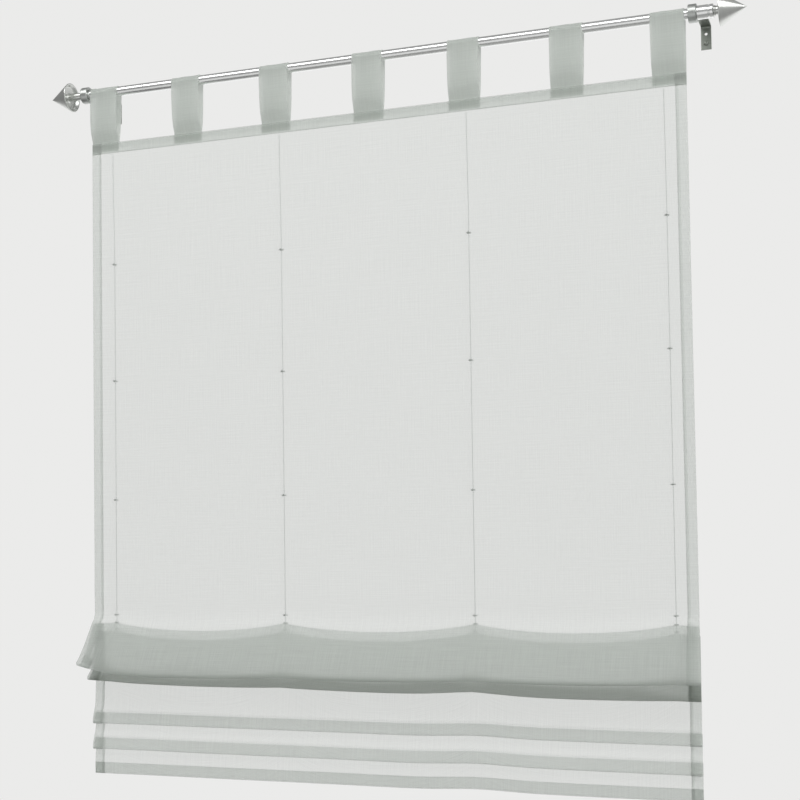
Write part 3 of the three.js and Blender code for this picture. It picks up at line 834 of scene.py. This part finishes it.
def cord_depth(level):
    """y of a cord at a level: close behind the cloth at the top, then a ring's radius away."""
    beside, through = 0.8 + CORD_RADIUS - 0.1, 0.8 + RING_RADIUS + RING_WIRE
    share = soft_step(-level, -CORD_TOP, -RING_LEVELS[0])
    return -ROD_TO_BACK + lean(level) + beside + (through - beside) * share


def twisted(name, centre):
    """A three-lobed outline carried along a nearly upright line and turned as it goes."""
    drop = centre[0, 2] - centre[:, 2]
    angle = ring_angles(9)
    turn = angle[None] + (drop / LAY * 2 * math.pi)[:, None]
    radius = CORD_RADIUS * (0.86 + 0.14 * np.cos(3 * angle))[None] * np.ones((len(centre), 1))
    radius[0] = radius[-1] = 0
    x = centre[:, 0][:, None] + radius * np.cos(turn)
    y = centre[:, 1][:, None] + radius * np.sin(turn)
    z = np.broadcast_to(centre[:, 2][:, None], x.shape)
    return closed_skin(name, x, y, z)


def hoops(name, centres, radius, wire, axis, steps=26, sides=10):
    """Rings of round wire: a small circle carried round a larger one whose axis is x or z."""
    around, section = np.meshgrid(ring_angles(steps), ring_angles(sides), indexing="ij")
    reach = radius + wire * np.cos(section)
    flat = [reach * np.cos(around), reach * np.sin(around), wire * np.sin(section)]
    order = {"z": (0, 1, 2), "x": (2, 0, 1)}[axis]
    shape = np.stack([flat[k] for k in order], -1)
    net = (np.array(centres)[:, None, None] + shape[None]) * MM
    return surface(name, net, close_i=True, close_j=True, closed=True)


for number, x in enumerate(CORD_LINES, start=1):
    levels = np.arange(CORD_TOP, CORD_FOOT, -0.85)
    line = np.stack([np.full(len(levels), x), cord_depth(levels) - wave(x, levels), levels], -1)
    finish(twisted(f"cord_{number}", line), CORD, "lift_cord", f"lift_cord_{number}")
    ring_y = cord_depth(RING_LEVELS) - wave(x, RING_LEVELS)
    spots = np.stack([np.full(6, x), ring_y, RING_LEVELS], -1)
    rings = hoops(f"rings_{number}", spots, RING_RADIUS, RING_WIRE, "z")
    finish(rings, RING, "ring", *[f"ring_{number}_{n}" for n in range(1, 7)])
    loops = np.concatenate([spots + (shift, -RING_RADIUS - 0.65, 0) for shift in (-0.7, 0, 0.7)])
    ties = hoops(f"ring_ties_{number}", loops, 1.35, 0.22, "x", 14, 6)
    finish(ties, THREAD, "lift_cord")
print("cords of", round(CORD_TOP - CORD_FOOT), "mm,", len(RING_LEVELS), "rings on each")

# %% [markdown]
# ## Rod, sleeve and cones
# These are turned parts: each is a profile carried once round the rod's axis. A lathe needs
# nothing else, so neither does the model, apart from small rounded corners on the profile.

# %% Rod, sleeve and cones
AXIS_Y, AXIS_Z = (rod_low[1] + rod_high[1]) / 2, (rod_low[2] + rod_high[2]) / 2
ROD_END = rod_high[0] / MM


def turned(name, profile, start, side, sides=96, ring=False):
    """A profile of radius and distance outwards, in mm, carried round the rod's axis."""
    profile = np.array(profile, float) * MM
    radius, out = profile[:, 0][:, None], profile[:, 1][:, None]
    angle = ring_angles(sides)[None]
    x = start * MM + side * out + 0 * angle
    net = np.stack([x, AXIS_Y + radius * np.cos(angle), AXIS_Z + radius * np.sin(angle)], -1)
    return surface(name, net, close_i=ring, close_j=True, closed=True)


def outside(node):
    """Lowest and highest x of a solid, in mm."""
    low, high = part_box(node)
    return low[0] / MM, high[0] / MM


rod_profile = rounded([(0, 0), (ROD_RADIUS, 0), (ROD_RADIUS, 2 * ROD_END), (0, 2 * ROD_END)], 0.6)
rod = turned("rod", rod_profile, -ROD_END, 1)
finish(rod, POLISHED, "polished_rod", "curtain_rod")

sleeve_low, sleeve_high = outside("end_sleeve")
SLEEVE_RADIUS, SLEEVE_LENGTH = 10.2, sleeve_high - sleeve_low
GROOVE_RADIUS, GROOVE_AT = SLEEVE_RADIUS - 0.8, SLEEVE_LENGTH - 6
sleeve = turned("sleeve", rounded([
    (0, 0), (SLEEVE_RADIUS, 0), (SLEEVE_RADIUS, GROOVE_AT - 1.1), (GROOVE_RADIUS, GROOVE_AT - 0.5),
    (GROOVE_RADIUS, GROOVE_AT + 0.5), (SLEEVE_RADIUS, GROOVE_AT + 1.1), (SLEEVE_RADIUS, SLEEVE_LENGTH),
    (0, SLEEVE_LENGTH)], 0.5), sleeve_low, 1)
finish(sleeve, POLISHED, "polished_rod", "end_sleeve")

CONE_BASE, CONE_LENGTH, CONE_RIM, CONE_DISH, STEM_RADIUS = 24.0, 39.0, 2.2, 5.0, 7.5


def cone(name, node, side):
    """A finial: a stem, a dished back with a rim, and a slightly hollow-sided cone."""
    low, high = outside(node)
    stem = high - low - CONE_LENGTH
    base = high - CONE_LENGTH if side > 0 else low + CONE_LENGTH
    dish = CONE_BASE - CONE_RIM
    profile = rounded([
        (0, -stem), (STEM_RADIUS, -stem), (STEM_RADIUS, -stem + 2.2), (STEM_RADIUS - 0.9, -stem + 3.2),
        (STEM_RADIUS - 0.9, CONE_DISH - 1), (STEM_RADIUS + 0.6, CONE_DISH), (dish - 3, CONE_DISH), (dish, 0),
        (CONE_BASE, 0), (CONE_BASE, 1.2), (CONE_BASE * 0.5, CONE_LENGTH * 0.515), (0.9, CONE_LENGTH - 1.4),
        (0, CONE_LENGTH)], 0.7)
    return finish(turned(name, profile, base, side), CONE_STEEL, "finial", node)


cone("cone_left", "finial_left", -1)
cone("cone_right", "finial_right", 1)
print("rod", round(2 * ROD_END), "mm, cones", CONE_LENGTH, "mm long")

# %% [markdown]
# ## Brackets
# Each bracket is a turned collar and a flat strap welded to its top. The strap runs back, bends
# down and ends as an upright plate with two holes, the lower one with its screw in it. It is a
# rounded oblong carried along its bent path. The holes are the one thing that a carried outline
# can't have, so they are cut with a Boolean, whose result is kept as a plain mesh.

# %% Brackets
COLLAR_CENTRE, COLLAR_LENGTH, COLLAR_RADIUS, COLLAR_BORE = 511.0, 12.0, 13.5, 8.3
STRAP_SHIFT, STRAP_WIDTH, STRAP_THICKNESS, STRAP_LEVEL, STRAP_BEND = 7.0, 15.6, 2.0, 11.5, 3.0
STRAP_FRONT, PLATE_FOOT, SCREW_HOLES, HOLE_RADIUS = 84.0, -25.0, (-1.0, -15.5), 2.3


def strap(name, middle):
    """The rounded oblong of the strap carried along its path in y and z."""
    half, thin = STRAP_WIDTH / 2, STRAP_THICKNESS / 2
    bend = thin + STRAP_BEND
    angle = np.linspace(0, np.pi / 2, 9)
    turn_y, turn_z = -(thin + bend) + bend * np.sin(angle), STRAP_LEVEL - bend + bend * np.cos(angle)
    run = np.linspace(0, 1, 9)[:, None]
    arm = np.array([-STRAP_FRONT, STRAP_LEVEL]) + run * np.array([STRAP_FRONT - thin - bend, 0])
    plate = np.array([-thin, STRAP_LEVEL - bend]) + run * np.array([0, PLATE_FOOT - STRAP_LEVEL + bend])
    path = np.concatenate([arm[:-1], np.stack([turn_y, turn_z], -1), plate[1:]])
    along = np.gradient(path, axis=0)
    along /= np.linalg.norm(along, axis=1)[:, None]
    path, along = (np.concatenate([a[:1], a, a[-1:]]) for a in (path, along))
    oblong = [(0, -thin), (half, -thin), (half, thin), (-half, thin), (-half, -thin), (0, -thin)]
    outline = rounded(oblong, 0.45)[:-1]
    grow = np.ones((len(path), 1))
    grow[0] = grow[-1] = 0
    x = middle + outline[:, 0][None] * grow
    y = path[:, :1] - along[:, 1:] * outline[:, 1][None] * grow
    z = path[:, 1:] + along[:, :1] * outline[:, 1][None] * grow
    return closed_skin(name, x, y, z)


def rod_through(name, radius, centre, length):
    """A closed round pin along y, for cutting a hole."""
    angle = ring_angles(32)
    share = np.array([0, 1, 1, 0])[:, None]
    x = centre[0] + radius * np.cos(angle)[None] * share
    z = centre[1] + radius * np.sin(angle)[None] * share
    y = np.array([-1, -1, 1, 1])[:, None] * length / 2 + 0 * angle[None]
    return closed_skin(name, x, y, z)


def with_holes(obj, middle):
    """Cuts the two screw holes and keeps the result as a plain mesh."""
    pins = [rod_through(f"pin_{level}", HOLE_RADIUS, (middle, level), 12) for level in SCREW_HOLES]
    for pin in pins:
        cut = obj.modifiers.new("hole", "BOOLEAN")
        cut.operation, cut.object, cut.solver = "DIFFERENCE", pin, "EXACT"
    seen = obj.evaluated_get(bpy.context.evaluated_depsgraph_get())
    obj.data = bpy.data.meshes.new_from_object(seen)
    obj.modifiers.clear()
    for pin in pins:
        bpy.data.objects.remove(pin)
    obj.data.polygons.foreach_set("use_smooth", np.zeros(len(obj.data.polygons), bool))
    return obj


def screw(name, middle):
    """A round-headed screw in the lower hole: a low dome with a small recess in it."""
    profile = rounded([(0, 0), (3.7, 0), (3.7, 0.5), (2.6, 1.7), (0.9, 2.1), (0.6, 1.2), (0, 1.2)], 0.4)
    angle = ring_angles(40)[None]
    radius, out = profile[:, 0][:, None], profile[:, 1][:, None]
    x, z = middle + radius * np.cos(angle), SCREW_HOLES[1] + radius * np.sin(angle)
    y = -STRAP_THICKNESS - out + 0 * angle
    return finish(closed_skin(name, x, y, z), STRAP_STEEL, "bracket")


for word, side in (("left", -1), ("right", 1)):
    half = COLLAR_LENGTH / 2
    ring = rounded([(COLLAR_BORE + 1, -half), (COLLAR_RADIUS, -half), (COLLAR_RADIUS, half),
                    (COLLAR_BORE, half), (COLLAR_BORE, -half), (COLLAR_BORE + 1, -half)], 0.9)[:-1]
    collar = turned(f"collar_{word}", ring, side * COLLAR_CENTRE, 1, ring=True)
    finish(collar, SATIN, "bracket", f"bracket_{word}")
    middle = side * COLLAR_CENTRE + STRAP_SHIFT
    plate = with_holes(strap(f"strap_{word}", middle), middle)
    finish(plate, STRAP_STEEL, "bracket", f"bracket_{word}")
    screw(f"screw_{word}", middle)
print("brackets: strap", STRAP_WIDTH, "mm wide")

# %% [markdown]
# ## Floor and light
# The shade is lit as in a studio: a pale surround that is brighter behind the cloth than in
# front of it, and three soft lamps for the metal: above, low in front, and to the right. The sheer
# cloth needs the light from behind, because that is what makes one layer bright and several
# layers dark.

# %% Floor and light
SEEN = 0.83
world = bpy.data.worlds.new("surround")
world.use_nodes = True
bpy.context.scene.world = world
sky = Recipe("surround", world.node_tree)
direction = sky.node("ShaderNodeTexCoord")
right, back, high = (sky.node("ShaderNodeSeparateXYZ", None, {0: direction}, k) for k in range(3))
glow_behind = sky.between(back, 0.05, 0.7) * (1 - sky.between(high, 0.05, 0.45))
room = (1 - high * high) * 0.10 + high * 0.10 + right * 0.13 + 0.25
light = sky.node("ShaderNodeBackground", None, {0: room + glow_behind * 0.75, 1: 1.0})
pale = sky.node("ShaderNodeBackground", None, {0: (SEEN, SEEN, SEEN * 0.99, 1), 1: 1.0})
looked_at = sky.node("ShaderNodeLightPath")
both = sky.node("ShaderNodeMixShader", None, {0: looked_at, 1: light, 2: pale})
sky.node("ShaderNodeOutputWorld", None, {0: both})


def lamp(name, place, target, size, power):
    """A soft oblong lamp that faces a point."""
    data = bpy.data.lights.new(name, "AREA")
    data.shape, data.size, data.size_y, data.energy = "RECTANGLE", *size, power
    obj = placed(name, data)
    obj.location = place
    aim = np.array(target) - np.array(place)
    flat = math.hypot(aim[0], aim[1])
    obj.rotation_euler = (math.pi / 2 + math.atan2(aim[2], flat), 0, math.atan2(-aim[0], aim[1]))
    obj.visible_camera = False


lamp("lamp_above", (-0.35, -1.25, 1.05), (-0.1, -0.09, -0.5), (3.1, 0.7), 20.0)
lamp("lamp_low", (-0.6, -2.7, -1.75), (-0.1, -0.1, -0.1), (5.0, 2.2), 18.0)
lamp("lamp_right", (2.3, -1.5, 1.0), (0.5, -0.1, -0.2), (1.2, 1.2), 16.0)

FLOOR_LEVEL, FLOOR_RADIUS, FADE_FROM, FADE_TO, FLOOR_SIDES = -2.15, 4.0, 0.9, 3.6, 48
floor_angle = ring_angles(FLOOR_SIDES)[None]
ring_r = np.linspace(0, FLOOR_RADIUS, 13)[:, None] * np.ones((1, FLOOR_SIDES))
floor_net = np.stack([ring_r * np.cos(floor_angle), ring_r * np.sin(floor_angle),
                      np.full(ring_r.shape, FLOOR_LEVEL)], -1)
floor = surface("floor", floor_net[::-1], close_j=True)
paint = Recipe("floor_paint")
place = paint.on_object()
away = paint.node("ShaderNodeVectorMath", {"operation": "LENGTH"}, {0: place}, 1)
edge = paint.between(away, FADE_FROM, FADE_TO)
grain = paint.shade((0.78, 0.78, 0.77), (0.86, 0.86, 0.85), paint.noise(place, 3.0, 4.0))
matt = paint.node("ShaderNodeBsdfPrincipled", None, {"Base Color": grain, "Roughness": 0.9})
clear = paint.node("ShaderNodeBsdfTransparent")
floor.data.materials.append(paint.end(paint.node("ShaderNodeMixShader", None, {0: edge, 1: matt, 2: clear})))
floor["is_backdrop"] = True
bpy.context.scene.view_settings.view_transform = "Standard"

# %% [markdown]
# ## Sizes and the end
# The size of the box of what is seen now is printed next to that of the solids, so that the two
# can be compared.

# %% Sizes and the end
SEEN_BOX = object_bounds()
boxes = {"cad": [list(corner) for corner in CAD_BOX], "seen": [list(corner) for corner in SEEN_BOX]}
for key, (low, high) in boxes.items():
    print(key, [round(h - l, 4) for l, h in zip(low, high)])
